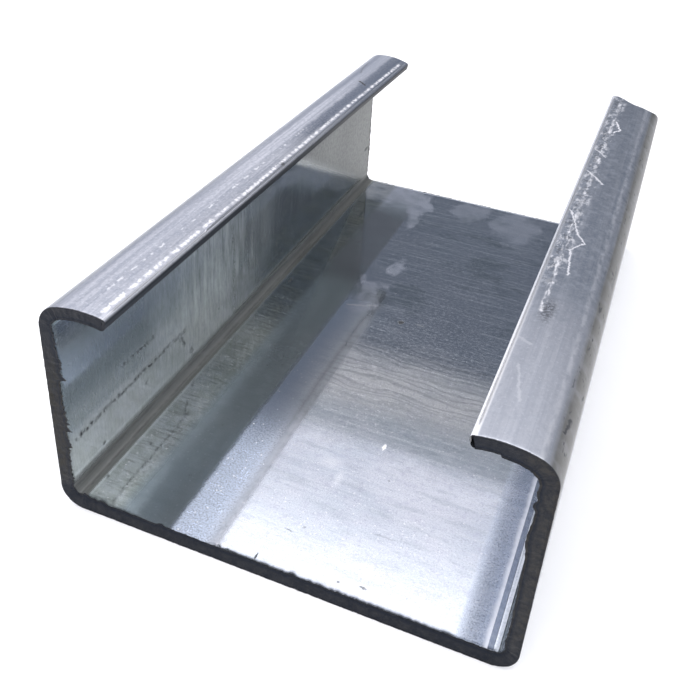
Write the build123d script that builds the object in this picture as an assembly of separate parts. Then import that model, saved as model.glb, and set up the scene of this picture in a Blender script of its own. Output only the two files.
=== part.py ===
from build123d import *
import math
import os

os.makedirs("parts", exist_ok=True)

# Lipped C-purlin, a short cut length of cold-formed galvanised strip.
# Units are millimetres. The web lies flat on the floor with the mouth up, as the piece rests.
# X is across the web, Y along the length, Z up. The origin is the bottom centre of the bounding box.

# ---- driving dimensions ----
WEB = 100.0          # overall width across the web, outside to outside
FLANGE = 53.0        # overall height, outside of the web to the crown of the lips
LIP = 15.7           # from a flange's outer face to its lip's cut edge
THICK = 2.7          # wall, the same all the way round
LENGTH = 175.0       # length of the cut piece
R_WEB_IN = 2.4       # inside radius of the two bends at the web
R_LIP_IN = 3.0       # inside radius of the two bends at the lips
R_LIP_ARCH = 22.0    # outside radius of the slight crown rolled into each lip
CROWN_IN = 10.5      # from a flange's outer face to the top of its lip's crown
R_EDGE = 0.9         # rounding of the slit edges of the strip, at the lip tips

# ---- derived ----
half = WEB / 2
r_wo = R_WEB_IN + THICK
r_lo = R_LIP_IN + THICK
xc = half - CROWN_IN                      # centre of the lip's arch
zc = FLANGE - R_LIP_ARCH
bx = half - r_lo                          # centre of the lip bend, tangent to the flange and to the arch
bz = zc + math.sqrt((R_LIP_ARCH - r_lo) ** 2 - (bx - xc) ** 2)
a_join = math.atan2(bz - zc, bx - xc)     # direction in which the arch runs into the bend
a_tip = math.acos((half - LIP - xc) / R_LIP_ARCH)   # direction of the slit edge
wx, wz = half - r_wo, r_wo                # centre of the web bend


def at(cx, cz, r, a):
    return (cx + r * math.cos(a), cz + r * math.sin(a))


def arc(cx, cz, r, a0, a1):
    return ThreePointArc(at(cx, cz, r, a0), at(cx, cz, r, (a0 + a1) / 2), at(cx, cz, r, a1))


# Right half of the outline, from the middle of the web round to the lip and back along the inside.
ro, ri = R_LIP_ARCH, R_LIP_ARCH - THICK
right = [
    Line((0, 0), (wx, 0)),
    arc(wx, wz, r_wo, -math.pi / 2, 0),
    Line((half, wz), (half, bz)),
    arc(bx, bz, r_lo, 0, a_join),
    arc(xc, zc, ro, a_join, a_tip),
    Line(at(xc, zc, ro, a_tip), at(xc, zc, ri, a_tip)),
    arc(xc, zc, ri, a_tip, a_join),
    arc(bx, bz, R_LIP_IN, a_join, 0),
    Line((half - THICK, bz), (half - THICK, wz)),
    arc(wx, wz, R_WEB_IN, 0, -math.pi / 2),
    Line((wx, THICK), (0, THICK)),
]
edges = Curve() + right + [mirror(e, about=Plane.YZ) for e in right]
profile = make_face(Wire(edges.edges()))

# Both slit edges get their rounding radius in the section.
tip_pts = [at(xc, zc, r, a_tip) for r in (ro, ri)]
tips = [v for v in profile.vertices()
        if any(abs(abs(v.X) - p[0]) < 1e-3 and abs(v.Y - p[1]) < 1e-3 for p in tip_pts)]
profile = fillet(tips, R_EDGE)

# The section is drawn with its height along the sketch's Y. Plane.XZ faces -Y, so it is swept from one end to the other.
section = Plane.XZ.offset(-LENGTH / 2) * profile
purlin = extrude(section, amount=LENGTH)
c_purlin = purlin.solid() if hasattr(purlin, "solid") else purlin
c_purlin.label = "c_purlin"

export_step(c_purlin, "parts/c_purlin.step")
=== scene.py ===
import math
import random

import bpy
import numpy as np
from mathutils import Matrix, Vector, noise


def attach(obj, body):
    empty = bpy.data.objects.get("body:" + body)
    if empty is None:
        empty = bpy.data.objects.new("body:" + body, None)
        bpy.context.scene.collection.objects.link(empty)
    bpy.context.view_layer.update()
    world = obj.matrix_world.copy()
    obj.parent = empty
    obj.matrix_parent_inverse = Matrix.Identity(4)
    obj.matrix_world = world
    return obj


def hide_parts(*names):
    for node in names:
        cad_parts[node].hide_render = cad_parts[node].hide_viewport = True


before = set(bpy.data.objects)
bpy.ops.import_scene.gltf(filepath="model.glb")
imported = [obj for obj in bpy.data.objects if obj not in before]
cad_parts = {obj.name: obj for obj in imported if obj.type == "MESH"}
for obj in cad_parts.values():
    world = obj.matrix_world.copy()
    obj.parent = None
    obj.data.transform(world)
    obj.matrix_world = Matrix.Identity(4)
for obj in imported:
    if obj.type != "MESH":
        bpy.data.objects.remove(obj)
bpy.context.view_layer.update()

MM = 0.001
scene = bpy.context.scene
random.seed(7)
rng = np.random.default_rng(7)

# ------------------------------------------------------------------ section, as the CAD has it
WEB, FLANGE, LIP, THICK, LENGTH = 100.0, 53.0, 15.7, 2.7, 175.0
R_WEB_IN, R_LIP_IN, R_ARCH, CROWN_IN, R_EDGE = 2.4, 3.0, 22.0, 10.5, 0.9
half = WEB / 2
r_wo, r_lo = R_WEB_IN + THICK, R_LIP_IN + THICK
xc, zc = half - CROWN_IN, FLANGE - R_ARCH
bx = half - r_lo
bz = zc + math.sqrt((R_ARCH - r_lo) ** 2 - (bx - xc) ** 2)
a_join = math.atan2(bz - zc, bx - xc)
a_tip = math.acos((half - LIP - xc) / R_ARCH)
wx, wz = half - r_wo, r_wo


def smooth(t):
    t = min(max(t, 0.0), 1.0)
    return t * t * (3 - 2 * t)


def side_path(offset, step_flat=0.95, step_bend=0.42):
    """One side of the sheet from the web's middle to the right lip's tip, as (x, z) and the outward normal. offset is 0 on the
    outside and THICK on the inside. Both sides have the same count, so that they pair up across the wall."""
    pts = []

    def line(x0, z0, x1, z1, nx, nz, n):
        for k in range(n):
            t = k / n
            pts.append((x0 + (x1 - x0) * t, z0 + (z1 - z0) * t, nx, nz))

    def arc(cx, cz, r, a0, a1, n):
        for k in range(n):
            a = a0 + (a1 - a0) * k / n
            pts.append((cx + (r - offset) * math.cos(a), cz + (r - offset) * math.sin(a), math.cos(a), math.sin(a)))

    n_web = round(wx / step_flat)
    n_bend = round(r_wo * math.pi / 2 / step_bend)
    n_fl = round((bz - wz) / step_flat)
    n_lb = round(r_lo * a_join / step_bend) + 1
    n_ar = round(R_ARCH * (a_tip - a_join) / (step_flat * 0.8))
    line(0, offset, wx, offset, 0, -1, n_web)
    arc(wx, wz, r_wo, -math.pi / 2, 0, n_bend)
    line(half - offset, wz, half - offset, bz, 1, 0, n_fl)
    arc(bx, bz, r_lo, 0, a_join, n_lb)
    arc(xc, zc, R_ARCH, a_join, a_tip, n_ar)
    # the last point, short of the tip by the edge's softening
    a = a_tip - R_EDGE / R_ARCH
    pts.append((xc + (R_ARCH - offset) * math.cos(a), zc + (R_ARCH - offset) * math.sin(a), math.cos(a), math.sin(a)))
    return pts


def ring():
    """The closed section as rows (x, z, nx, nz, s, kind): n points outwards, s the distance along the strip from the web's
    middle, kind 0 outside, 1 inside, 2 slit edge. It runs left tip, outside, right tip, inside, and back."""
    out, ins = side_path(0.0), side_path(THICK)
    mid = side_path(THICK / 2)
    s = [0.0]
    for a, b in zip(mid, mid[1:]):
        s.append(s[-1] + math.hypot(b[0] - a[0], b[1] - a[1]))
    rows = []
    right_out = [(x, z, nx, nz, d, 0) for (x, z, nx, nz), d in zip(out, s)]
    right_in = [(x, z, -nx, -nz, d, 1) for (x, z, nx, nz), d in zip(ins, s)]
    # slit edge at the right tip: rounded corners and a flat between them
    tip = []
    d = s[-1]
    tx, tz = -math.sin(a_tip), math.cos(a_tip)          # out of the slit edge
    rx, rz = math.cos(a_tip), math.sin(a_tip)           # outwards across the wall
    for r0, sgn in ((R_ARCH, 1), (R_ARCH - THICK, -1)):
        c = (xc + (r0 - sgn * R_EDGE) * rx, zc + (r0 - sgn * R_EDGE) * rz)
        c = (c[0] - tx * R_EDGE, c[1] - tz * R_EDGE)
        quarter = []
        for k in range(1, 5):
            a = math.radians(90) * k / 4
            ux, uz = sgn * rx * math.cos(a) + tx * math.sin(a), sgn * rz * math.cos(a) + tz * math.sin(a)
            quarter.append((c[0] + R_EDGE * ux, c[1] + R_EDGE * uz, ux, uz, d + (0.2 * k / 4 if sgn > 0 else 1.0), 2))
        tip.append(quarter)
    first, last = tip[0], tip[1][::-1]
    flat = []
    for k in range(1, 6):
        t = k / 6
        a, b = first[-1], last[0]
        flat.append((a[0] + (b[0] - a[0]) * t, a[1] + (b[1] - a[1]) * t, tx, tz, d + 0.25 + 0.75 * t, 2))
    right_tip = first + flat + last
    mirror = lambda p: (-p[0], p[1], -p[2], p[3], -p[4], p[5])
    rows = [mirror(p) for p in right_out[1:][::-1]] + right_out + right_tip + right_in[::-1]
    rows += [mirror(p) for p in right_in[1:]] + [mirror(p) for p in right_tip[::-1]]
    return np.array(rows)


R = ring()
N = len(R)
K = 3   # finer points around the section at each end


def refine(rows, k):
    nxt = np.roll(rows, -1, axis=0)
    out = []
    for j in range(k):
        t = j / k
        m = rows * (1 - t) + nxt * t
        m[:, 5] = rows[:, 5] if t < 0.5 else nxt[:, 5]
        out.append(m)
    m = np.stack(out, 1).reshape(-1, rows.shape[1])
    n = np.hypot(m[:, 2], m[:, 3])
    m[:, 2] /= n
    m[:, 3] /= n
    return m


F = refine(R, K)
NF = len(F)
TIP_S = R[R[:, 5] == 0][:, 4].max()


def around(rows):
    """Distance round the closed section to each point, and the whole way round."""
    d = np.hypot(*(np.roll(rows[:, :2], -1, axis=0) - rows[:, :2]).T)
    return np.concatenate([[0.0], np.cumsum(d)])


T_R, T_F = around(R), around(F)
T_END = T_R[-1]
T_F = T_F * (T_END / T_F[-1])
T_IN = T_R[np.where(R[:, 5] == 1)[0][0]]        # where the inside starts


def fbm(x, y, z, octaves=4, gain=0.55, scale=1.0):
    v, a, f = 0.0, 1.0, scale
    for _ in range(octaves):
        v += a * noise.noise(Vector((x * f, y * f, z * f)))
        a *= gain
        f *= 2.03
    return v


# ------------------------------------------------------------------ burrs and the unevenness of the two cut ends
def bump_at(v, centre, width):
    return math.exp(-(((v - centre) / width) ** 2))


def burr(row, end):
    """How far the cut pushes metal proud of the face next to it, in mm, at this point of the section. end 0 is near, 1 far."""
    s, kind, x, z = row[4], row[5], row[0], row[1]
    jag = fbm(s * 0.9, 11.3 + end * 7, kind * 5.1, 5, 0.62)
    slow = fbm(s * 0.13, 3.7 + end * 9, kind * 2.3, 3)
    if kind == 1:
        h = 0.10 + 0.16 * max(0.0, jag + 0.25) + 0.10 * max(0.0, slow)
        if z > 45 and abs(x) < 45:                      # clean along the lips
            h *= 0.25
        if end == 0:
            if x < -40 and z > 6:                       # near left flange: a ragged burr, and one bigger flake
                h += (0.42 + 1.10 * max(0.0, jag + 0.05)) * smooth((48.0 - z) / 3) * (0.75 + 0.5 * bump_at(z, 20.0, 8.0))
                h += 1.35 * bump_at(z, 36.0, 1.8) * (0.8 + 0.6 * jag) + 0.60 * bump_at(z, 39.0, 1.3) + 0.55 * bump_at(z, 18.0, 1.0) + 0.75 * bump_at(z, 24.5, 0.9)
            if x > 40 and z > 6:                        # near right flange: a wavy edge with a notch
                h += 0.12 + 0.45 * smooth((z - 43) / 1.5) + 0.75 * bump_at(z, 42.2, 0.9) + 0.60 * bump_at(z, 34.0, 3.6)
                h += 0.12 * max(-1.0, slow)
            if x < -36 and z < 6:                       # flakes in the near left corner
                h += 1.2 * bump_at(x, -44.6, 0.8) + 0.5 * bump_at(x, -42.6, 0.5) + 0.75 * bump_at(x, -40.6, 0.8)
            if abs(x) < 45 and z < 6:
                h += 0.50 * bump_at(x, -26.0, 0.6) + 0.50 * bump_at(x, 4.0, 0.5) - 0.04
        return max(h, 0.03)
    if kind == 0:
        h = 0.02 + 0.07 * max(0.0, jag)
        return h if z > 1.0 else 0.0
    return 0.0


def end_shift(row, end):
    """How far the cut stands back from the true end at this point, in mm."""
    s, kind = row[4], row[5]
    return 0.05 + 0.10 * abs(fbm(s * 0.55, 21.1 + end * 5, 0.7, 4)) + 0.05 * abs(fbm(s * 2.3, 4.4 + end * 3, kind * 3.0, 2))


def set_back(row, end):
    """The cut leans a little at the web, so that its inner edge stands back, in mm."""
    lean = 0.8 if end == 0 else 0.3
    return lean * smooth((9.0 - row[1]) / 6.0) if row[5] == 1 else 0.0


# ------------------------------------------------------------------ the swept sheet
offs = [0.0, 0.10, 0.24, 0.45, 0.75, 1.2, 1.9, 2.9]          # from each end, finely pointed rings
mid_y = np.linspace(-LENGTH / 2 + 4.4, LENGTH / 2 - 4.4, 60)   # coarser rings between them

verts, faces = [], []
attr_s, attr_cut, attr_in = [], [], []
uv_s = []


def bow(x, z, y):
    """The sheet's own slight unevenness, in mm along its normal, only ever into the CAD's box."""
    return 0.045 * fbm(x * 0.02 + 3.0, y * 0.018, z * 0.03, 2)


def askew(s, z, y):
    """The far cut drew the lips a little out of true: how far back along the length and how far down, in mm."""
    f = smooth(1 - (LENGTH / 2 - y) / 24.0)
    if abs(s) < 90:
        return 0.0, 0.0
    if s < 0:
        t = min(max((-s - 93.5) / 15.5, 0.0), 1.0)
        return 2.4 * t * f, 1.5 * t * max(0.0, y / LENGTH + 0.5) ** 1.7
    t = smooth((s - 92.5) / 5.0) * smooth((109.0 - s) / 8.0)
    return 4.2 * t * f, 0.8 * t * f


def add_ring(rows, y, end=None, depth=0.0):
    base = len(verts)
    for r in rows:
        x, z, nx, nz, s, kind = r
        yy, cut = y, 0.0
        if end is not None:
            sign = 1 if end == 0 else -1
            fall = math.exp(-depth / 0.34)
            h = burr(r, end) * fall * smooth(1 - depth / 2.6)
            # the burr leans out of the face; the outer corner is slightly rolled over
            x, z = x + nx * h, z + nz * h
            if kind == 0:
                roll = 0.10 * math.exp(-depth / 0.18)
                x, z = x - nx * roll, z - nz * roll
            yy = y + sign * (end_shift(r, end) * math.exp(-depth / 1.2) + set_back(r, end) * math.exp(-depth / 2.6))
            cut = 1.0 if depth <= 0.05 else max(0.0, min(1.0, h / 0.16)) if kind == 1 else math.exp(-depth / 0.2)
        back, down = askew(s, z, y)
        yy, z = yy - back, z - down
        b = bow(x, z, y) * (0.0 if kind == 2 else 1.0)
        x, z = x - abs(b) * nx * 0.5, z - abs(b) * nz * 0.5
        x = min(max(x, -50.0), 50.0)
        z = min(max(z, 0.0), FLANGE)
        verts.append((x * MM, yy * MM, z * MM))
        attr_s.append(s)
        attr_cut.append(cut)
        attr_in.append(kind)
    return base


rings = []
for o in offs:
    rings.append((add_ring(F, -LENGTH / 2 + o, 0, o), NF, -LENGTH / 2 + o))
for y in mid_y:
    rings.append((add_ring(R, y), N, y))
for o in offs[::-1]:
    rings.append((add_ring(F, LENGTH / 2 - o, 1, o), NF, LENGTH / 2 - o))

face_uv = []


def skin_uv(t, y, inside):
    """The outside and the inside lie side by side on the map, each with the length running up it."""
    w = 0.485
    u = 0.008 + w * t / T_IN if not inside else 0.507 + w * (t - T_IN) / (T_END - T_IN)
    return (u, 0.10 + 0.885 * (y + LENGTH / 2) / LENGTH)


def skin(idx, ts, ys):
    faces.append(tuple(idx))
    inside = sum(ts) / len(ts) > T_IN
    face_uv.append([skin_uv(t, y, inside) for t, y in zip(ts, ys)])


for (a, na, ya), (b, nb, yb) in zip(rings, rings[1:]):
    ta, tb = (T_F if na == NF else T_R), (T_F if nb == NF else T_R)
    if na == nb:
        for j in range(na):
            k = (j + 1) % na
            skin((a + j, a + k, b + k, b + j), (ta[j], ta[j + 1], tb[j + 1], tb[j]), (ya, ya, yb, yb))
    elif na > nb:                                             # fine to coarse
        for j in range(nb):
            k = (j + 1) % nb
            q = range(K + 1)
            skin([a + (j * K + i) % na for i in q] + [b + k, b + j],
                 [ta[j * K + i] for i in q] + [tb[j + 1], tb[j]], [ya] * (K + 1) + [yb, yb])
    else:
        for j in range(na):
            k = (j + 1) % na
            q = range(K, -1, -1)
            skin([a + j, a + k] + [b + (j * K + i) % nb for i in q],
                 [ta[j], ta[j + 1]] + [tb[j * K + i] for i in q], [ya, ya] + [yb] * (K + 1))

n_skin = len(faces)

# End faces: the wall's outside and inside points pair up, with rows between them that carry the cut's roughness.
out_idx = [i for i in range(NF) if F[i, 5] == 0]
# pair by order: the outside runs left tip to right tip, the inside comes back from right tip to left tip
first_out, last_out = out_idx[0], out_idx[-1]
n_out = last_out - first_out + 1
in_idx = [i for i in range(NF) if F[i, 5] == 1]
first_in, last_in = in_idx[0], in_idx[-1]
ROWS = 7
cap_faces = []


def cap(base, end):
    y0 = -LENGTH / 2 if end == 0 else LENGTH / 2
    sign = 1 if end == 0 else -1
    n = min(n_out, last_in - first_in + 1)
    cols = []
    for j in range(n):
        o = base + first_out + j
        i = base + last_in - j
        po, pi = Vector(verts[o]), Vector(verts[i])
        col = [o]
        for q in range(1, ROWS):
            t = q / ROWS
            p = po.lerp(pi, t)
            s = attr_s[o]
            edge = min(t, 1 - t) * ROWS
            g = fbm(s * 1.3, t * 3.0, 5.0 + end, 3)
            h = 0.05 * min(edge, 1.5) * (0.4 + g)
            # the saw leaves the outer two thirds flat and tears the rest
            h += 0.10 * smooth((t - 0.66) / 0.2) * (0.5 + 0.6 * fbm(s * 0.8, 2.0, 9.0 + end, 3))
            verts.append((p.x, p.y + sign * max(h, 0.0) * MM, p.z))
            attr_s.append(s)
            attr_cut.append(1.0)
            attr_in.append(3 + t)
            col.append(len(verts) - 1)
        col.append(i)
        cols.append(col)
    v0 = 0.008 + 0.045 * end
    for j, (a, b) in enumerate(zip(cols, cols[1:])):
        for q in range(ROWS):
            f = (a[q], b[q], b[q + 1], a[q + 1])
            u = [(0.01 + 0.95 * (j + d) / n, v0 + 0.034 * (q + e) / ROWS) for d, e in ((0, 0), (1, 0), (1, 1), (0, 1))]
            cap_faces.append(f if end == 1 else f[::-1])
            face_uv.append(u if end == 1 else u[::-1])
    # the two tips: the slit edge's own points close the ends of the fan
    for col, rows in ((cols[0], [k for k in range(last_in + 1, NF)] + [k for k in range(0, first_out)]),
                      (cols[-1], list(range(last_out + 1, first_in))[::-1])):
        tip_loop = [base + k for k in rows]
        poly = tip_loop + col[::1]
        left = col is cols[0]
        poly = poly if (left == (end == 1)) else poly[::-1]
        cap_faces.append(tuple(poly))
        cx = sum(verts[i][0] for i in poly) / len(poly)
        cz = sum(verts[i][2] for i in poly) / len(poly)
        u0 = 0.972 if left else 0.988
        face_uv.append([(u0 + (verts[i][0] - cx) / MM * 0.0035, v0 + 0.017 + (verts[i][2] - cz) / MM * 0.0035) for i in poly])


cap(rings[0][0], 0)
cap(rings[-1][0], 1)
faces += cap_faces

me = bpy.data.meshes.new("c_purlin_steel")
me.from_pydata(verts, [], faces)
me.update()
steel = bpy.data.objects.new("c_purlin_steel", me)
scene.collection.objects.link(steel)


def put(name, values):
    at = me.attributes.new(name, "FLOAT", "POINT")
    at.data.foreach_set("value", np.asarray(values, dtype=np.float32))


uv = me.uv_layers.new(name="OFBake")
flat_uv = np.array([c for f in face_uv for c in f], dtype=np.float32)
uv.data.foreach_set("uv", flat_uv.ravel())
put("strip_s", np.array(attr_s) * MM)
put("cut", attr_cut)
put("side", attr_in)
me.polygons.foreach_set("use_smooth", [True] * len(me.polygons))

# the end faces meet the skin at a hard corner
for e in range(1):
    import bmesh
    bm = bmesh.new()
    bm.from_mesh(me)
    bm.faces.ensure_lookup_table()
    bmesh.ops.recalc_face_normals(bm, faces=bm.faces)
    caps = set(f.index for f in bm.faces if f.index >= n_skin)
    for ed in bm.edges:
        ins = [f.index in caps for f in ed.link_faces]
        if len(ins) == 2 and ins[0] != ins[1]:
            ed.smooth = False
    for f in bm.faces:
        f.material_index = 1 if f.index >= n_skin else 0
    bm.to_mesh(me)
    bm.free()


# ------------------------------------------------------------------ materials
def new_material(name):
    m = bpy.data.materials.new(name)
    m.use_nodes = True
    nt = m.node_tree
    for n in list(nt.nodes):
        nt.nodes.remove(n)
    out = nt.nodes.new("ShaderNodeOutputMaterial")
    p = nt.nodes.new("ShaderNodeBsdfPrincipled")
    nt.links.new(p.outputs[0], out.inputs[0])
    return m, nt, p


class Graph:
    """Short names for the shader nodes used below. A value is a number, a tuple or a socket."""

    def __init__(self, nt):
        self.nt = nt

    def put(self, sock, v):
        if v is None:
            return
        if hasattr(v, "is_output"):
            self.nt.links.new(v, sock)
        elif isinstance(v, tuple) and len(sock.default_value) == 4 and len(v) == 3:
            sock.default_value = (*v, 1)
        else:
            sock.default_value = v

    def math(self, op, a, b=None, clamp=False):
        n = self.nt.nodes.new("ShaderNodeMath")
        n.operation = op
        n.use_clamp = clamp
        self.put(n.inputs[0], a)
        self.put(n.inputs[1], b)
        return n.outputs[0]

    def add(self, a, b): return self.math("ADD", a, b)
    def sub(self, a, b): return self.math("SUBTRACT", a, b)
    def mul(self, a, b): return self.math("MULTIPLY", a, b)
    def hi(self, a, b): return self.math("MAXIMUM", a, b)
    def lo(self, a, b): return self.math("MINIMUM", a, b)

    def all(self, *vs):
        v = vs[0]
        for w in vs[1:]:
            v = self.mul(v, w)
        return v

    def most(self, *makers):
        """The largest of several masks, each built in turn."""
        v = makers[0]()
        for f in makers[1:]:
            v = self.hi(v, f())
        return v

    def vec(self, op, a, b=None, out=0):
        n = self.nt.nodes.new("ShaderNodeVectorMath")
        n.operation = op
        self.put(n.inputs[0], a)
        if b is not None:
            self.put(n.inputs["Scale"] if op == "SCALE" else n.inputs[1], b)
        return n.outputs["Value"] if out == 1 else n.outputs[0]

    def xyz(self, x=0.0, y=0.0, z=0.0):
        n = self.nt.nodes.new("ShaderNodeCombineXYZ")
        for i, v in enumerate((x, y, z)):
            self.put(n.inputs[i], v)
        return n.outputs[0]

    def split(self, v):
        n = self.nt.nodes.new("ShaderNodeSeparateXYZ")
        self.put(n.inputs[0], v)
        return n.outputs[0], n.outputs[1], n.outputs[2]

    def step(self, v, a, b, lo=0.0, hi=1.0, kind="SMOOTHSTEP"):
        """lo at a, hi at b, and smooth between."""
        n = self.nt.nodes.new("ShaderNodeMapRange")
        n.interpolation_type = kind
        n.clamp = True
        for name, x in (("From Min", a), ("From Max", b), ("To Min", lo), ("To Max", hi)):
            self.put(n.inputs[name], x)
        self.put(n.inputs["Value"], v)
        return n.outputs[0]

    def mix(self, f, a, b, mode="MIX"):
        n = self.nt.nodes.new("ShaderNodeMix")
        n.data_type = "RGBA"
        n.blend_type = mode
        self.put(n.inputs[0], f)
        self.put(n.inputs[6], a)
        self.put(n.inputs[7], b)
        return n.outputs[2]

    def noise(self, v, scale=1.0, detail=2.0, rough=0.5, distort=0.0, colour=False):
        n = self.nt.nodes.new("ShaderNodeTexNoise")
        self.put(n.inputs["Vector"], v)
        n.inputs["Scale"].default_value = scale
        n.inputs["Detail"].default_value = detail
        n.inputs["Roughness"].default_value = rough
        n.inputs["Distortion"].default_value = distort
        return n.outputs["Color"] if colour else n.outputs["Fac"]

    def stretched(self, v, sx, sy, detail=3.0, rough=0.65):
        """Noise with sx features per mm across the strip and sy per mm along it."""
        return self.noise(self.vec("MULTIPLY", v, (sx, sy, 1.0)), 1.0, detail, rough)

    def cells(self, v, scale=1.0, feature="F1", out="Distance"):
        n = self.nt.nodes.new("ShaderNodeTexVoronoi")
        n.feature = feature
        self.put(n.inputs["Vector"], v)
        n.inputs["Scale"].default_value = scale
        return n.outputs[out]

    def attr(self, name):
        n = self.nt.nodes.new("ShaderNodeAttribute")
        n.attribute_name = name
        return n.outputs["Fac"]

    def window(self, v, a, b, soft=1.0):
        """1 between a and b."""
        return self.mul(self.step(v, a - soft, a + soft), self.step(v, b + soft, b - soft))


def scratch_group():
    """Distance-based line from A to B: 1 on it, 0 beyond its width."""
    g = bpy.data.node_groups.new("scratch", "ShaderNodeTree")
    for name, kind in (("P", "NodeSocketVector"), ("A", "NodeSocketVector"), ("B", "NodeSocketVector"), ("W", "NodeSocketFloat")):
        g.interface.new_socket(name, in_out="INPUT", socket_type=kind)
    g.interface.new_socket("Mask", in_out="OUTPUT", socket_type="NodeSocketFloat")
    i, o = g.nodes.new("NodeGroupInput"), g.nodes.new("NodeGroupOutput")
    G = Graph(g)
    ap, ab = G.vec("SUBTRACT", i.outputs[0], i.outputs[1]), G.vec("SUBTRACT", i.outputs[2], i.outputs[1])
    h = G.math("DIVIDE", G.vec("DOT_PRODUCT", ap, ab, 1), G.vec("DOT_PRODUCT", ab, ab, 1), clamp=True)
    d = G.vec("LENGTH", G.vec("SUBTRACT", ap, G.vec("SCALE", ab, h)), out=1)
    g.links.new(G.step(d, G.mul(i.outputs[3], 0.25), i.outputs[3], 1.0, 0.0), o.inputs[0])
    return g


SCRATCH = scratch_group()


def line(G, P, a, b, w):
    n = G.nt.nodes.new("ShaderNodeGroup")
    n.node_tree = SCRATCH
    G.put(n.inputs[0], P)
    n.inputs[1].default_value = (a[0], a[1], 0)
    n.inputs[2].default_value = (b[0], b[1], 0)
    n.inputs[3].default_value = w
    return n.outputs[0]


def lines(G, P, pts, w, k=1.0):
    """pts are (along, across) in mm, joined in a row. k is the strength."""
    v = None
    for a, b in zip(pts, pts[1:]):
        m = line(G, P, (a[1], a[0]), (b[1], b[0]), w)
        v = m if v is None else G.hi(v, m)
    return v if k == 1.0 else G.mul(v, k)


def blob(G, P, y, s, ry, rs, soft=0.35, k=1.0):
    """A soft-edged oval at (y along, s across), in mm."""
    v = G.vec("MULTIPLY", G.vec("SUBTRACT", P, (s, y, 0.0)), (1 / rs, 1 / ry, 0.0))
    return G.step(G.vec("LENGTH", v, out=1), 1.0 - soft, 1.0 + soft, k, 0.0)


class Sheet:
    """What every zinc material starts from: where a spot is on the flat strip, in mm."""

    def __init__(self, name):
        self.m, self.nt, self.p = new_material(name)
        G = self.G = Graph(self.nt)
        tc = self.nt.nodes.new("ShaderNodeTexCoord")
        _, oy, _ = G.split(tc.outputs["Object"])
        self.s = G.mul(G.attr("strip_s"), 1000.0)        # round the section from the web's middle, negative on the left
        self.y = G.add(G.mul(oy, 1000.0), LENGTH / 2)    # from the near end
        self.side = G.attr("side")                       # 0 outside, 1 inside, 2 slit edge
        self.q = G.xyz(self.s, self.y, G.mul(self.side, 40.0))
        self.abs_s = G.math("ABSOLUTE", self.s)
        self.left = G.step(self.s, 0.5, -0.5)

    def wobbly(self, scale, size, detail=2.0):
        """The same spots, pushed about, so that a mark drawn on them has an uneven edge."""
        G = self.G
        w = G.vec("SUBTRACT", G.noise(self.q, scale, detail, 0.6, colour=True), (0.5, 0.5, 0.5))
        return G.vec("ADD", G.xyz(self.s, self.y, 0.0), G.vec("MULTIPLY", w, (size, size, 0.0)))

    def bump(self, h, mm=1.0):
        """Relief from a height in mm."""
        b = self.nt.nodes.new("ShaderNodeBump")
        b.inputs["Strength"].default_value = 1.0
        b.inputs["Distance"].default_value = 0.001 * mm
        self.G.put(b.inputs["Height"], h)
        self.nt.links.new(b.outputs[0], self.p.inputs["Normal"])

    def torn(self, base):
        """Bare dark steel over the burr at the cut. Returns the colour and the mask."""
        G = self.G
        fine = G.noise(self.q, 1.6, 3, 0.7)
        bare = G.mix(G.step(fine, 0.35, 0.7), (0.010, 0.012, 0.018), (0.034, 0.038, 0.048))
        f = G.step(G.add(G.attr("cut"), G.mul(G.sub(fine, 0.5), 0.5)), 0.32, 0.62)
        return G.mix(f, base, bare), f


# --- the inside: bright rolled zinc that mirrors its surroundings
def rolled(S):
    """The zinc common to the whole inside: its colour, and the patterns that the rest is built on."""
    G, q = S.G, S.q
    S.mottle = G.noise(q, 0.22, 3, 0.65)
    S.grain = G.noise(q, 2.4, 2, 0.7)
    S.across = G.stretched(q, 0.035, 1.1)
    base = G.mix(G.step(G.noise(q, 0.035, 3, 0.6), 0.35, 0.65), (0.55, 0.59, 0.65), (0.65, 0.67, 0.72))
    base = G.mix(G.step(S.mottle, 0.35, 0.7, 0.0, 0.35), base, (0.56, 0.56, 0.63))
    base = G.mix(G.step(S.across, 0.42, 0.62, 0.0, 0.18), base, (0.80, 0.82, 0.84))
    base = G.mix(G.step(G.noise(q, 0.55, 3, 0.75), 0.52, 0.66, 0.0, 0.30), base, (0.40, 0.40, 0.50))
    base = G.mix(G.step(G.stretched(q, 0.09, 0.42, 2, 0.6), 0.50, 0.70, 0.0, 0.32), base, (0.34, 0.38, 0.42))
    base = G.mix(G.step(S.grain, 0.50, 0.70, 0.0, 0.36), base, (0.31, 0.34, 0.39))
    base = G.mix(G.step(S.grain, 0.44, 0.30, 0.0, 0.35), base, (0.86, 0.88, 0.92))
    return base


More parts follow.
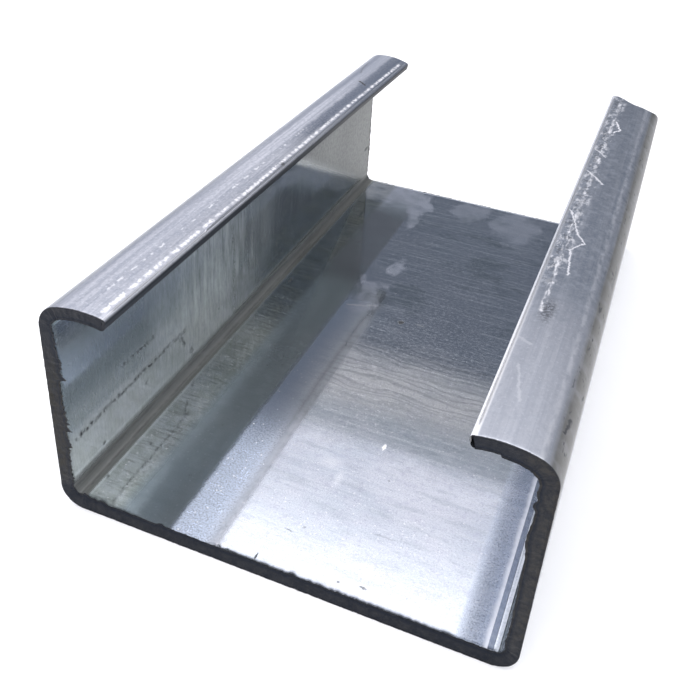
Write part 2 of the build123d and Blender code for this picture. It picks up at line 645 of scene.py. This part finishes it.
def finish_inside(S, base, dark, pale, dull, rough_more, wave_mm):
    G, q = S.G, S.q
    base = G.mix(dark, base, (0.050, 0.053, 0.058))
    base = G.mix(pale, base, (0.93, 0.93, 0.96))
    base, bare = S.torn(base)
    S.nt.links.new(base, S.p.inputs["Base Color"])
    marks = G.hi(G.hi(dark, pale), bare)
    dust = G.mul(G.step(G.stretched(q, 0.9, 1.5, 3, 0.8), 0.46, 0.68), G.mul(G.step(S.y, 4.0, 60.0, 0.55, 1.0), G.step(S.y, 84.0, 112.0, 1.0, 0.50)))
    dull = G.hi(dull, G.add(G.mul(dust, 0.26), G.step(S.across, 0.50, 0.66, 0.0, 0.10)))
    S.nt.links.new(G.sub(0.97, G.hi(dull, G.mul(marks, 0.65))), S.p.inputs["Metallic"])
    rough = G.add(G.add(G.step(S.mottle, 0.3, 0.75, 0.055, 0.095), G.step(S.across, 0.45, 0.7, 0.0, 0.02)), rough_more)
    S.nt.links.new(G.hi(rough, G.mul(marks, 0.5)), S.p.inputs["Roughness"])
    h = G.mul(G.stretched(q, 0.022, 0.014, 1, 0.4), 0.06)
    h = G.add(h, G.mul(G.stretched(q, 0.020, 0.30, 1, 0.5), wave_mm))
    h = G.add(h, G.mul(G.noise(q, 0.22, 2, 0.6), 0.0035))
    h = G.add(h, G.mul(G.noise(q, 2.2, 2, 0.7), 0.0013))
    S.bump(h)
    return S.m


def web_zinc():
    S = Sheet("zinc_web")
    G, q, s, y = S.G, S.q, S.s, S.y
    base = rolled(S)
    sw = G.add(s, G.mul(G.sub(S.mottle, 0.5), 1.0))       # the strips' edges are a little uneven
    # painted reflection: the web darker and bluer towards the back
    base = G.mix(G.step(y, 66.0, 90.0, 0.0, 0.50), base, (0.44, 0.495, 0.58))
    # painted reflection: the strip by the left bend green-grey and dark, mottled and streaked
    base = G.mix(G.mul(G.step(s, -34.0, -36.5), G.step(S.mottle, 0.3, 0.7, 0.55, 0.90)), base, (0.33, 0.36, 0.34))
    base = G.mix(G.mul(G.step(s, -34.0, -36.5), G.step(G.stretched(q, 0.16, 1.2, 3, 0.75), 0.46, 0.66, 0.0, 0.50)), base, (0.17, 0.18, 0.17))
    # painted reflections: a dark slate band, and beside it a blue-white one
    slate_reflection_band = G.mul(G.step(sw, -37.4, -34.6), G.step(sw, -23.2, -24.4))
    base = G.mix(G.mul(slate_reflection_band, G.mul(G.step(y, 122.0, 104.0, 0.1, 0.80), G.step(S.mottle, 0.2, 0.6, 0.88, 1.0))), base, (0.218, 0.268, 0.290))
    base = G.mix(G.all(slate_reflection_band, G.step(y, 100.0, 112.0), G.step(y, 162.0, 150.0), 0.80), base, (0.15, 0.165, 0.185))
    # painted reflection: a blue strip beside the slate band, fading towards the web's middle
    fade = G.step(s, -23.0, -13.5, 1.0, 0.12)
    base = G.mix(G.all(G.step(sw, -24.7, -22.9), G.step(sw, -13.6, -18.0), G.step(y, 16.0, 46.0), G.step(y, 118.0, 92.0), G.mul(fade, 0.84)), base, (0.228, 0.283, 0.395))
    edge = G.all(G.step(sw, -24.7, -22.9), G.step(sw, -12.0, -16.5), G.step(y, 112.0, 92.0))
    bluewhite_reflection = G.all(edge, G.step(y, 56.0, 24.0, 0.08, 0.85))
    # painted highlight: pale by the bend on the right, towards the front
    bluewhite_reflection = G.hi(bluewhite_reflection, G.mul(G.window(sw, 37.6, 46.0, 0.7), G.step(y, 70.0, 30.0, 0.0, 0.45)))
    bluewhite_reflection = G.mul(bluewhite_reflection, G.step(S.grain, 0.66, 0.40, 0.55, 1.0))
    base = G.mix(bluewhite_reflection, base, (0.72, 0.81, 1.0))
    # painted reflection over the seam between the blue-white strip and the clear web: pale at the front, dark at the
    # back
    seam_painted_light = G.all(G.window(s, -15.6, -12.6, 1.6), G.step(y, 108.0, 84.0), G.step(S.mottle, 0.25, 0.6, 0.75, 1.0))
    base = G.mix(G.mul(seam_painted_light, 0.46), base, G.mix(G.step(y, 38.0, 48.0), (0.80, 0.83, 0.92), (0.30, 0.325, 0.36)))
    # painted reflection: past the waves the rear is darker; before them a faint painted step down in tone
    base = G.mix(G.all(G.step(y, 42.8, 43.8), G.step(y, 60.0, 54.0), G.step(s, -15.0, -13.5), G.step(s, 38.0, 37.0), 0.12), base, (0.38, 0.40, 0.42))
    # painted highlight along the edge of the bend on the right, pale white at the front
    bend_highlight = G.all(G.step(sw, 42.3, 43.8), G.step(y, 60.0, 44.0))
    base = G.mix(G.mul(bend_highlight, 0.85), base, (0.93, 0.94, 1.0))
    # painted reflection: dark wavy lines across the web, the ceiling's edge mirrored in its waves
    wy = G.add(y, G.mul(G.sub(G.stretched(q, 0.045, 0.10, 2, 0.5), 0.5), 9.0))
    wave = G.math("SINE", G.add(G.mul(wy, 3.0), G.add(G.mul(G.math("SINE", G.mul(wy, 0.83)), 1.5), G.mul(S.mottle, 3.0))))
    wave = G.all(G.step(wave, 0.0, 0.95), G.window(y, 58.0, 83.0, 5.0), G.step(sw, -17.0, -13.0), G.step(S.across, 0.30, 0.55, 0.3, 1.0))
    base = G.mix(G.mul(wave, 0.40), base, (0.22, 0.245, 0.28))
    # pale blooms
    qb = G.vec("ADD", S.wobbly(0.5, 1.8, 3.0), G.vec("MULTIPLY", G.vec("SUBTRACT", G.noise(q, 0.12, 2, 0.6, colour=True), (0.5, 0.5, 0.5)), (13.0, 13.0, 0.0)))
    bloom = G.most(lambda: blob(G, qb, 100, -18.5, 8.5, 3.4, 0.3), lambda: blob(G, qb, 121, -16.0, 5.0, 3.0, 0.3), lambda: blob(G, qb, 109, -21.5, 4.0, 1.8, 0.3),
                   lambda: blob(G, qb, 170, -35, 9.5, 12, 0.15), lambda: blob(G, qb, 160, -22, 13, 3.2, 0.25), lambda: blob(G, qb, 167, -5, 8, 6, 0.25, 0.6),
                   lambda: blob(G, qb, 164, 13, 11, 8, 0.2, 0.6))
    bloom = G.mul(bloom, G.step(S.mottle, 0.25, 0.6, 0.6, 1.0))
    patch = G.noise(G.vec("MULTIPLY", q, (0.045, 0.075, 1.0)), 1.0, 4, 0.7)
    base = G.mix(G.mul(G.step(patch, 0.50, 0.36), G.step(y, 82.0, 104.0, 0.0, 0.45)), base, (0.24, 0.29, 0.32))
    base = G.mix(G.mul(bloom, 0.24), base, (0.64, 0.65, 0.78))
    # marks
    qw = S.wobbly(0.9, 1.2, 2.0)
    dots = G.step(G.stretched(q, 0.5, 1.1, 2, 0.75), 0.44, 0.58)
    dark = G.mul(lines(G, qw, [(8, -37.6), (30, -37.5)], 0.8, 0.28), dots)
    for spot in ((92.3, -4.8, 1.0, 0.85, 0.35, 1.0), (93.4, 0.6, 0.5, 1.4, 0.35, 0.4), (98, -42.5, 1.4, 0.4, 0.35, 0.8), (2.2, -4.5, 0.9, 0.25, 0.35, 0.9),
                 (11, -1.5, 0.25, 0.9, 0.35, 0.4), (4.0, 18.0, 0.3, 0.7, 0.35, 0.6), (17.5, 17.5, 0.25, 2.6, 0.35, 0.2)):
        dark = G.hi(dark, blob(G, qw, *spot))
    pepper = G.mul(G.step(G.cells(q, 0.30), 0.14, 0.06), G.step(G.cells(q, 0.30, "F1", "Color"), 0.60, 0.66))
    dark = G.hi(dark, G.all(pepper, G.step(S.mottle, 0.5, 0.6), 0.55))
    pale = G.most(lambda: blob(G, qw, 42.5, 8.3, 1.1, 0.42), lambda: blob(G, qw, 70, -4.5, 0.7, 0.8, 0.35, 0.3), lambda: blob(G, qw, 33, -1.0, 1.6, 2.4, 0.8, 0.3),
                  lambda: blob(G, qw, 29, 2.4, 2.2, 0.9, 0.8, 0.3), lambda: lines(G, qw, [(94, -22), (95.5, -17.5), (97.2, -14)], 0.55, 0.3))
    # pale freckles, partly zinc spangle and partly painted glints, denser at the front and over the blue-white strip
    freck = G.mul(G.step(G.cells(q, 0.95), 0.30, 0.12), G.step(G.cells(q, 0.95, "F1", "Color"), 0.45, 0.60))
    pale = G.hi(pale, G.all(freck, G.hi(G.step(y, 95.0, 15.0, 0.10, 0.40), G.mul(edge, G.step(y, 60.0, 35.0, 0.1, 0.9))), G.step(S.mottle, 0.35, 0.55, 0.3, 1.0), G.sub(1.0, G.mul(slate_reflection_band, 0.7))))
    dull = G.most(lambda: G.mul(bloom, 0.25), lambda: G.mul(bluewhite_reflection, 0.78), lambda: G.mul(slate_reflection_band, 0.25), lambda: G.mul(edge, 0.3), lambda: G.mul(bend_highlight, 0.75), lambda: G.mul(seam_painted_light, 0.40))
    zone = G.add(0.0016, G.mul(G.window(y, 52.0, 90.0, 8.0), 0.0085))
    return finish_inside(S, base, dark, pale, dull, G.most(lambda: G.mul(bluewhite_reflection, 0.22), lambda: G.mul(bloom, 0.08), lambda: G.mul(slate_reflection_band, 0.05)), zone)


def flange_zinc():
    S = Sheet("zinc_flange")
    G, q, s, y = S.G, S.q, S.s, S.y
    base = rolled(S)
    base = G.mix(G.mul(S.left, G.step(S.mottle, 0.3, 0.7, 0.5, 0.85)), base, (0.43, 0.47, 0.45))
    # painted shade: the upper left flange darker and teal at the front
    base = G.mix(G.all(S.left, G.step(s, -67.0, -73.0), G.step(y, 75.0, 35.0), 0.55), base, (0.24, 0.29, 0.32))
    # painted reflection: a dark patch at the back of the left flange, under a slanting edge
    reflection_wedge = G.all(G.step(G.sub(y, G.mul(G.add(s, 82.0), 1.767)), 106.0, 118.0), G.step(s, -49.0, -52.0))
    base = G.mix(G.mul(reflection_wedge, 0.90), base, G.mix(G.step(G.noise(q, 0.9, 3, 0.75), 0.35, 0.65), (0.200, 0.205, 0.190), (0.340, 0.345, 0.320)))
    # painted reflection, darker still near the lip and at the far end
    base = G.mix(G.all(reflection_wedge, G.hi(G.step(s, -79.0, -84.0), G.step(y, 138.0, 150.0, 0.0, 0.35)), 0.55), base, (0.06, 0.065, 0.07))
    # the bend, brown-grey with draw lines; its dark tone is partly painted shade, darkest in the crease towards the
    # back
    bend = G.mul(S.left, G.window(S.abs_s, 44.6, 51.0, 0.4))
    base = G.mix(G.mul(bend, G.step(G.stretched(q, 1.1, 0.03, 2, 0.6), 0.35, 0.65, 0.80, 0.94)), base, (0.215, 0.22, 0.21))
    base = G.mix(G.all(bend, G.step(S.abs_s, 49.6, 48.6), G.step(y, 90.0, 120.0, 0.34, 0.60)), base, (0.08, 0.08, 0.075))
    # streaks across the flange
    st = G.stretched(q, 0.035, 0.42, 3, 0.7)
    zone = G.all(S.left, G.window(G.add(s, G.mul(S.mottle, 8.0)), -86.0, -57.0, 5.0), G.window(y, 47.0, 95.0, 6.0))
    streak = G.mul(zone, G.step(st, 0.46, 0.66))
    base = G.mix(G.mul(zone, 0.32), base, (0.70, 0.74, 0.71))
    base = G.mix(G.mul(streak, 0.30), base, (0.80, 0.83, 0.80))
    base = G.mix(G.mul(zone, G.step(st, 0.44, 0.30, 0.0, 0.45)), base, (0.16, 0.18, 0.19))
    qw = S.wobbly(0.9, 1.2, 2.0)
    dots = G.step(G.stretched(q, 0.5, 1.1, 2, 0.75), 0.47, 0.56)
    dark = G.most(lambda: G.mul(lines(G, qw, [(4, -61.8), (22, -62.2), (46, -61.9)], 0.95), G.step(y, 52.0, 30.0, 0.5, 1.0)),
                  lambda: lines(G, qw, [(21, -68.9), (34, -68.6)], 0.7, 0.8),
                  lambda: lines(G, qw, [(44, -61), (46, -58)], 1.0, 0.8), lambda: lines(G, qw, [(48, -55.5), (50, -52)], 1.0, 0.9),
                  lambda: lines(G, qw, [(71, -80), (72, -66), (71.5, -52)], 0.8, 0.55))
    dark = G.mul(dark, dots)
    groove = G.step(G.stretched(q, 0.4, 0.2, 2, 0.7), 0.35, 0.6, 0.3, 1.0)
    dark = G.hi(dark, G.mul(lines(G, qw, [(0, -49.6), (60, -49.4), (165, -49.5)], 0.6, 0.38), groove))
    dark = G.hi(dark, G.mul(lines(G, qw, [(0, -46.4), (60, -46.6), (120, -46.4)], 0.6, 0.45), groove))
    for spot in ((29, -58.0, 0.3, 0.5, 0.35, 0.7), (12, -53.5, 0.5, 0.35, 0.35, 0.7), (172, -62.0, 1.8, 0.6, 0.35, 0.9), (98, -60.0, 0.5, 1.0, 0.4, 0.5)):
        dark = G.hi(dark, blob(G, qw, *spot))
    pepper = G.mul(G.step(G.cells(q, 0.30), 0.14, 0.06), G.step(G.cells(q, 0.30, "F1", "Color"), 0.60, 0.66))
    dark = G.hi(dark, G.all(pepper, G.step(S.mottle, 0.5, 0.6), 0.55))
    pale = G.mul(lines(G, qw, [(4, -63.4), (46, -63.6)], 1.6, 0.22), G.step(S.mottle, 0.3, 0.6))
    film = G.all(S.left, G.window(s, -83.0, -51.0, 2.0), G.step(y, 100.0, 74.0))
    film = G.mul(film, G.hi(G.mul(G.window(y, 30.0, 76.0, 9.0), 0.62), G.step(s, -66.0, -58.0, 0.26, 0.50)))
    brushed = G.stretched(q, 0.22, 1.0, 4, 0.78)
    film = G.mul(film, G.step(brushed, 0.30, 0.70, 0.76, 1.14))
    dull = G.most(lambda: G.add(film, G.mul(streak, 0.18)), lambda: G.mul(zone, 0.22), lambda: G.mul(bend, 0.5), lambda: G.mul(reflection_wedge, 0.85))
    return finish_inside(S, base, dark, pale, dull, G.most(lambda: G.mul(bend, 0.40), lambda: G.mul(reflection_wedge, 0.35)), 0.0025)


# --- the lips: paler, duller zinc with draw lines
def lip_zinc(right):
    S = Sheet("zinc_lip_right" if right else "zinc_lip_left")
    G, q, s, y = S.G, S.q, S.s, S.y
    mottle = G.noise(q, 0.22, 3, 0.65)
    fine = G.noise(q, 1.6, 2, 0.7)
    along = G.stretched(q, 1.5, 0.022)
    along2 = G.stretched(q, 0.42, 0.015, 2, 0.6)
    base = G.mix(G.step(along2, 0.35, 0.65), (0.43, 0.445, 0.50), (0.60, 0.61, 0.665))
    base = G.mix(G.step(along, 0.46, 0.66, 0.0, 0.55), base, (0.30, 0.325, 0.39))
    base = G.mix(G.step(G.stretched(q, 1.3, 0.5, 3, 0.75), 0.44, 0.66, 0.0, 0.50), base, (0.30, 0.33, 0.40))
    base = G.mix(G.step(fine, 0.45, 0.30, 0.0, 0.45), base, (0.78, 0.79, 0.85))
    base = G.mix(G.step(fine, 0.55, 0.72, 0.0, 0.35), base, (0.20, 0.225, 0.28))
    qw = S.wobbly(0.9, 1.3, 3.0)
    band = None
    if right:
        base = G.mix(G.mul(G.step(G.add(y, G.mul(mottle, 26.0)), 44.0, 66.0), 0.45), base, (0.225, 0.27, 0.335))
        base = G.mix(0.14, base, (0.10, 0.12, 0.16))
        frost = G.noise(q, 0.42, 4, 0.72)
        base = G.mix(G.mul(G.step(frost, 0.50, 0.64), G.step(y, 30.0, 70.0, 0.22, 0.50)), base, (0.50, 0.53, 0.60))
        base = G.mix(G.mul(G.step(frost, 0.46, 0.34), G.step(y, 30.0, 70.0, 0.12, 0.42)), base, (0.17, 0.205, 0.26))
        base = G.mix(G.step(y, 60.0, 20.0, 0.0, 0.42), base, (0.66, 0.685, 0.75))
        band = G.step(G.add(S.abs_s, G.mul(G.sub(along2, 0.5), 1.2)), 96.9, 95.9)
        base = G.mix(G.mul(band, G.step(mottle, 0.25, 0.6, 0.72, 0.92)), base, (0.105, 0.102, 0.092))
        dark = G.most(lambda: lines(G, qw, [(9.3, 95.6), (13.6, 95.1)], 0.5), lambda: G.all(blob(G, qw, 40.5, 104.3, 3.8, 1.3, 0.7), G.step(fine, 0.30, 0.62), 0.80),
                      lambda: lines(G, qw, [(62, 93.8), (71, 93.7)], 0.7, 0.7), lambda: G.all(band, G.step(G.stretched(q, 1.0, 0.25, 2, 0.7), 0.60, 0.68)),
                      lambda: G.all(G.window(s, 104.9, 107.8, 0.4), G.step(y, 44.0, 56.0), G.step(G.noise(q, 0.55, 3, 0.75), 0.50, 0.60, 0.0, 0.55)))
        worn = G.stretched(q, 0.8, 0.25, 2, 0.7)
        pale = G.most(lambda: lines(G, qw, [(55.5, 103.1), (60, 103.5), (66.5, 104.3), (69, 103.1), (70.8, 101.9), (74, 103.9), (79, 105.2), (84, 106.5), (86.5, 107.5)], 0.34, 0.8),
                      lambda: lines(G, qw, [(104, 102.7), (107, 104.5), (111, 107.1)], 0.38, 0.8),
                      lambda: lines(G, qw, [(121.5, 104.2), (124, 105.5), (127, 107.5)], 0.38, 0.7),
                      lambda: lines(G, qw, [(141, 104.4), (143.6, 102.9), (146, 103.7), (150, 104.6)], 0.4, 0.9),
                      lambda: lines(G, qw, [(11, 103.5), (16, 104.7), (21, 105.7)], 0.35, 0.25),
                      lambda: lines(G, qw, [(28, 105.1), (29.5, 107.5)], 0.5, 0.25),
                      lambda: G.mul(lines(G, qw, [(40, 105.5), (88, 105.7), (128, 105.4), (170, 105.5)], 0.7), G.step(worn, 0.42, 0.62, 0.05, 0.85)),
                      lambda: G.all(G.window(s, 103.9, 108.1, 0.6), G.step(y, 45.0, 60.0), G.step(G.stretched(q, 0.6, 0.3, 3, 0.75), 0.50, 0.62, 0.0, 0.60)),
                      lambda: G.mul(G.window(s, 97.2, 98.1, 0.4), G.step(worn, 0.35, 0.6, 0.0, 0.26)),
                      # painted highlight on the rounded rim by the tip, brighter at the front
                      lambda: G.mul(G.window(s, 107.6, 110.6, 0.25), G.mul(G.step(fine, 0.20, 0.45, 0.7, 1.0), G.step(y, 75.0, 5.0, 0.42, 0.95))))
    else:
        base = G.mix(G.all(G.window(G.add(s, G.mul(mottle, 2.4)), -105.0, -101.9, 0.6), G.step(G.add(y, G.mul(mottle, 20.0)), 84.0, 118.0), G.step(fine, 0.30, 0.62, 1.0, 0.55)), base, (0.085, 0.11, 0.165))
        base = G.mix(G.mul(G.window(G.add(s, mottle), -99.0, -97.0, 0.5), G.step(G.add(y, G.mul(mottle, 20.0)), 84.0, 118.0, 0.25, 0.6)), base, (0.14, 0.165, 0.23))
        base = G.mix(G.step(y, 90.0, 150.0, 0.0, 0.22), base, (0.17, 0.21, 0.30))
        dark = G.most(lambda: lines(G, qw, [(141.4, -104.8), (142.6, -103.7), (143.6, -102.2)], 0.55), lambda: lines(G, qw, [(76, -107.9), (77.5, -107.1)], 0.5, 0.8),
                      lambda: lines(G, qw, [(152, -99.5), (158, -98.2), (164, -98.0)], 0.45, 0.5))
        pale = G.most(lambda: G.mul(lines(G, qw, [(2, -106.9), (60, -107.1), (120, -106.8), (168, -107.0)], 0.62), G.step(G.stretched(q, 0.3, 0.55, 2, 0.7), 0.40, 0.56, 0.15, 1.0)),
                      lambda: G.mul(lines(G, qw, [(4, -103.7), (50, -103.9), (100, -103.4)], 0.4), G.step(G.stretched(q, 0.3, 0.35, 2, 0.7), 0.48, 0.6, 0.0, 0.7)),
                      # painted highlight along the rim by the tip, brighter at the front
                      lambda: G.mul(G.window(s, TIP_S * -1 - 0.05, -107.9, 0.08), G.step(y, 120.0, 30.0, 0.15, 0.55)))
        base = G.mix(G.mul(G.window(s, -97.8, -93.8, 0.6), G.step(y, 110.0, 60.0, 0.0, 0.60)), base, (0.26, 0.275, 0.31))
        base = G.mix(G.mul(G.step(s, -104.6, -105.6), G.step(y, 95.0, 135.0, 0.0, 0.45)), base, (0.20, 0.235, 0.31))
    base = G.mix(dark, base, (0.045, 0.048, 0.055))
    base = G.mix(pale, base, (0.86, 0.86, 0.89))
    base, bare = S.torn(base)
    slit = G.mul(G.step(S.side, 1.5, 1.8), G.step(S.abs_s, TIP_S + (0.95 if right else 0.06), TIP_S + (1.0 if right else 0.14)))
    base = G.mix(slit, base, G.mix(fine, (0.012, 0.014, 0.020), (0.035, 0.04, 0.048)))
    S.nt.links.new(base, S.p.inputs["Base Color"])
    marks = G.hi(G.hi(dark, pale), G.hi(bare, slit))
    if band is not None:
        marks = G.hi(G.hi(marks, G.mul(band, 0.8)), G.mul(G.window(s, 107.9, 110.6, 0.25), 1.55))
    S.nt.links.new(G.sub(0.78, G.mul(marks, 0.45)), S.p.inputs["Metallic"])
    S.nt.links.new(G.hi(G.add(0.28, G.mul(along, 0.12)), G.mul(marks, 0.52)), S.p.inputs["Roughness"])
    h = G.mul(G.stretched(q, 0.05, 0.014, 1, 0.4), 0.03)
    h = G.add(h, G.mul(G.noise(q, 1.6, 2, 0.7), 0.0050))
    h = G.add(h, G.mul(G.stretched(q, 1.5, 0.022, 2), 0.008))
    S.bump(h)
    return S.m


# --- the outside of the flanges and of the web: handled, duller zinc
def outside_zinc():
    S = Sheet("zinc_outside")
    G, q, s, y = S.G, S.q, S.s, S.y
    right = G.sub(1.0, S.left)
    mottle = G.noise(q, 0.22, 4, 0.65)
    along2 = G.stretched(q, 0.42, 0.015, 3, 0.6)
    base = G.mix(G.step(G.noise(q, 0.035, 4, 0.6), 0.35, 0.65), (0.56, 0.60, 0.65), (0.66, 0.68, 0.72))
    base = G.mix(G.step(mottle, 0.35, 0.7, 0.0, 0.45), base, (0.60, 0.60, 0.66))
    base = G.mix(G.step(along2, 0.45, 0.7, 0.0, 0.3), base, (0.45, 0.49, 0.54))
    base = G.mix(G.step(G.stretched(q, 0.035, 1.1), 0.42, 0.62, 0.0, 0.12), base, (0.80, 0.82, 0.84))
    band = G.mul(right, G.step(S.abs_s, 60.0, 82.0))
    base = G.mix(G.mul(band, G.step(mottle, 0.25, 0.6, 0.72, 0.92)), base, (0.11, 0.105, 0.092))
    qw = S.wobbly(0.5, 1.1)
    dark = G.most(lambda: G.all(band, G.step(G.stretched(q, 1.0, 0.25, 3, 0.7), 0.60, 0.68)),
                  lambda: lines(G, qw, [(30, -70), (52, -66)], 0.5, 0.7), lambda: lines(G, qw, [(96, 12), (118, 17), (121, 16)], 0.5, 0.6),
                  lambda: G.all(G.step(G.cells(q, 0.22), 0.10, 0.05), G.step(G.cells(q, 0.22, "F1", "Color"), 0.62, 0.66), 0.7))
    base = G.mix(dark, base, (0.055, 0.058, 0.062))
    pale = G.most(lambda: lines(G, qw, [(20, -30), (64, -22), (90, -20)], 0.45, 0.6), lambda: lines(G, qw, [(110, 30), (132, 22)], 0.45, 0.7),
                  lambda: lines(G, qw, [(60, -80), (100, -76)], 0.4, 0.6), lambda: lines(G, qw, [(128, -62), (140, -66), (160, -65)], 0.4, 0.5),
                  lambda: G.mul(G.step(G.stretched(q, 2.2, 0.03, 3, 0.7), 0.62, 0.72), 0.4))
    base = G.mix(pale, base, (0.90, 0.90, 0.93))
    base, bare = S.torn(base)
    S.nt.links.new(base, S.p.inputs["Base Color"])
    marks = G.hi(G.hi(G.hi(dark, pale), G.mul(band, 0.8)), bare)
    S.nt.links.new(G.sub(0.9, G.mul(marks, 0.5)), S.p.inputs["Metallic"])
    S.nt.links.new(G.hi(G.step(mottle, 0.3, 0.75, 0.20, 0.30), G.mul(marks, 0.5)), S.p.inputs["Roughness"])
    h = G.mul(G.stretched(q, 0.022, 0.014, 2, 0.4), 0.08)
    h = G.add(h, G.mul(G.noise(q, 1.6, 3, 0.7), 0.0022))
    h = G.add(h, G.mul(G.stretched(q, 1.5, 0.022, 4), 0.004))
    S.bump(h)
    return S.m


# --- the cut faces: dark, torn near the inside, with a brown tint down the left
def cut_steel():
    m, nt, p = new_material("cut_steel")
    C = Graph(nt)
    tc = nt.nodes.new("ShaderNodeTexCoord")
    obj = C.vec("SCALE", tc.outputs["Object"], 1000.0)
    x, _, z = C.split(obj)
    cs = C.mul(C.attr("strip_s"), 1000.0)
    ct = C.sub(C.attr("side"), 3.0)                   # 0 at the outer skin, 1 at the inner one
    n1 = C.noise(obj, 0.55, 4, 0.65)
    n2 = C.noise(obj, 3.0, 3, 0.7)
    col = C.mix(C.step(n1, 0.3, 0.7), (0.014, 0.017, 0.025), (0.030, 0.032, 0.038))
    col = C.mix(C.step(n2, 0.5, 0.75, 0.0, 0.45), col, (0.075, 0.073, 0.070))
    col = C.mix(C.all(C.step(x, -42.0, -46.0), C.step(z, 3.0, 12.0), C.step(z, 46.0, 30.0), C.step(n1, 0.35, 0.6, 0.25, 0.9)), col, (0.031, 0.029, 0.024))
    col = C.mix(C.all(C.step(x, 42.0, 46.0), C.step(z, 2.0, 12.0), C.step(n1, 0.4, 0.65, 0.15, 0.6)), col, (0.055, 0.051, 0.045))
    col = C.mix(C.step(C.add(ct, C.mul(C.sub(n1, 0.5), 0.7)), 0.60, 0.82, 0.0, 0.8), col, (0.012, 0.016, 0.026))
    nt.links.new(col, p.inputs["Base Color"])
    p.inputs["Metallic"].default_value = 0.85
    nt.links.new(C.step(n2, 0.3, 0.8, 0.42, 0.66), p.inputs["Roughness"])
    b = nt.nodes.new("ShaderNodeBump")
    b.inputs["Strength"].default_value = 1.0
    b.inputs["Distance"].default_value = 0.001
    saw = C.stretched(C.xyz(cs, C.mul(ct, 2.7), 0.0), 0.8, 3.2, 3, 0.7)
    C.put(b.inputs["Height"], C.add(C.mul(saw, 0.10), C.mul(C.noise(obj, 3.0, 3, 0.7), 0.05)))
    nt.links.new(b.outputs[0], p.inputs["Normal"])
    return m


for made in (web_zinc(), cut_steel(), lip_zinc(False), outside_zinc(), flange_zinc(), lip_zinc(True)):
    me.materials.append(made)
s_of = [d.value for d in me.attributes["strip_s"].data]
side_of = [d.value for d in me.attributes["side"].data]
for f in me.polygons:
    if f.material_index == 0:
        n = len(f.vertices)
        where = sum(s_of[v] for v in f.vertices) / n * 1000
        sides = sum(side_of[v] for v in f.vertices) / n
        if abs(where) > TIP_S or (sides < 0.5 and abs(where) > 92.5):
            f.material_index = 5 if where > 0 else 2
        elif sides < 0.5:
            f.material_index = 3
        elif abs(where) > 44.0:
            f.material_index = 4

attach(steel, "root")
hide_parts("c_purlin")

# ------------------------------------------------------------------ floor
bpy.ops.mesh.primitive_plane_add(size=6.0, location=(0, 0, -0.00005))
floor = bpy.context.object
floor.name = "floor"
fm, fnt, fp = new_material("pale_floor")
fp.inputs["Base Color"].default_value = (0.95, 0.95, 0.955, 1)
fp.inputs["Roughness"].default_value = 0.9
fp.inputs["Emission Color"].default_value = (1.0, 1.0, 1.0, 1)
fp.inputs["Emission Strength"].default_value = 0.07
floor.data.materials.append(fm)

# ------------------------------------------------------------------ soft studio surroundings
world = bpy.data.worlds.new("studio")
scene.world = world
world.use_nodes = True
for n in list(world.node_tree.nodes):
    world.node_tree.nodes.remove(n)
Wg = Graph(world.node_tree)
w_out = world.node_tree.nodes.new("ShaderNodeOutputWorld")
bg = world.node_tree.nodes.new("ShaderNodeBackground")
world.node_tree.links.new(bg.outputs[0], w_out.inputs[0])
wtc = world.node_tree.nodes.new("ShaderNodeTexCoord")
dx, dy, dz = Wg.split(wtc.outputs["Generated"])
up = Wg.hi(dz, 0.02)
u = Wg.math("DIVIDE", dx, up)                        # where the direction meets a ceiling, along X
v = Wg.math("DIVIDE", dy, up)                        # and along Y
# a ceiling panel of soft light, a dimmer strip beyond it, then dull walls
wall = (0.168, 0.187, 0.225)
strip = Wg.mix(Wg.step(v, 1.08, 1.12), (0.455, 0.49, 0.54), (0.57, 0.565, 0.575))
col = Wg.mix(Wg.step(v, 1.225, 1.275), strip, wall)
panel = Wg.mix(Wg.step(v, 0.94, 0.70), (1.06, 1.07, 1.17), (2.15, 2.14, 2.20))
inside_panel = Wg.all(Wg.step(v, 1.032, 1.018), Wg.step(v, -1.9, -1.5), Wg.step(u, 0.80, 0.74), Wg.step(u, -2.4, -2.0))
# beyond the panel on the right
col = Wg.mix(Wg.step(u, 0.74, 0.80), col, Wg.mix(Wg.step(v, 1.9, 1.2), wall, (0.33, 0.35, 0.37)))
col = Wg.mix(inside_panel, col, panel)
# a bright side to the left
side_l = Wg.all(Wg.step(u, -0.62, -0.80), Wg.step(v, 9.0, 6.0), Wg.step(v, -3.0, -1.5))
col = Wg.mix(side_l, col, (1.05, 1.06, 1.14))
# behind the camera
back = Wg.step(v, -1.5, -1.9)
col = Wg.mix(back, col, (1.25, 1.25, 1.27))
world.node_tree.links.new(col, bg.inputs[0])
bg.inputs[1].default_value = 1.0

# ------------------------------------------------------------------ camera
cam_data = bpy.data.cameras.new("camera")
cam = bpy.data.objects.new("camera", cam_data)
scene.collection.objects.link(cam)
rx, ry, rz = 0.5002, 0.3473, 0.1599
th = math.sqrt(rx * rx + ry * ry + rz * rz)
Rv = Matrix.Rotation(th, 3, Vector((rx, ry, rz)) / th)
B0 = Matrix(((1, 0, 0), (0, 0, -1), (0, 1, 0)))
A = Rv @ B0
right, down, fwd = Vector(A[0]), Vector(A[1]), Vector(A[2])
M = Matrix((right, -down, -fwd)).transposed().to_4x4()
M.translation = Vector((51.1916, -106.8867 - LENGTH / 2, 148.1477)) * MM
cam.matrix_world = M
cam_data.sensor_fit = "HORIZONTAL"
cam_data.sensor_width = 36.0
cam_data.lens = 877.0158 / 700 * 36.0
cam_data.shift_x = -(363.0 - 350.0) / 700
cam_data.shift_y = (235.0 - 350.0) / 700
cam_data.clip_start = 0.005
cam_data.clip_end = 50.0
scene.camera = cam
scene.view_settings.view_transform = "Standard"
scene.view_settings.look = "None"
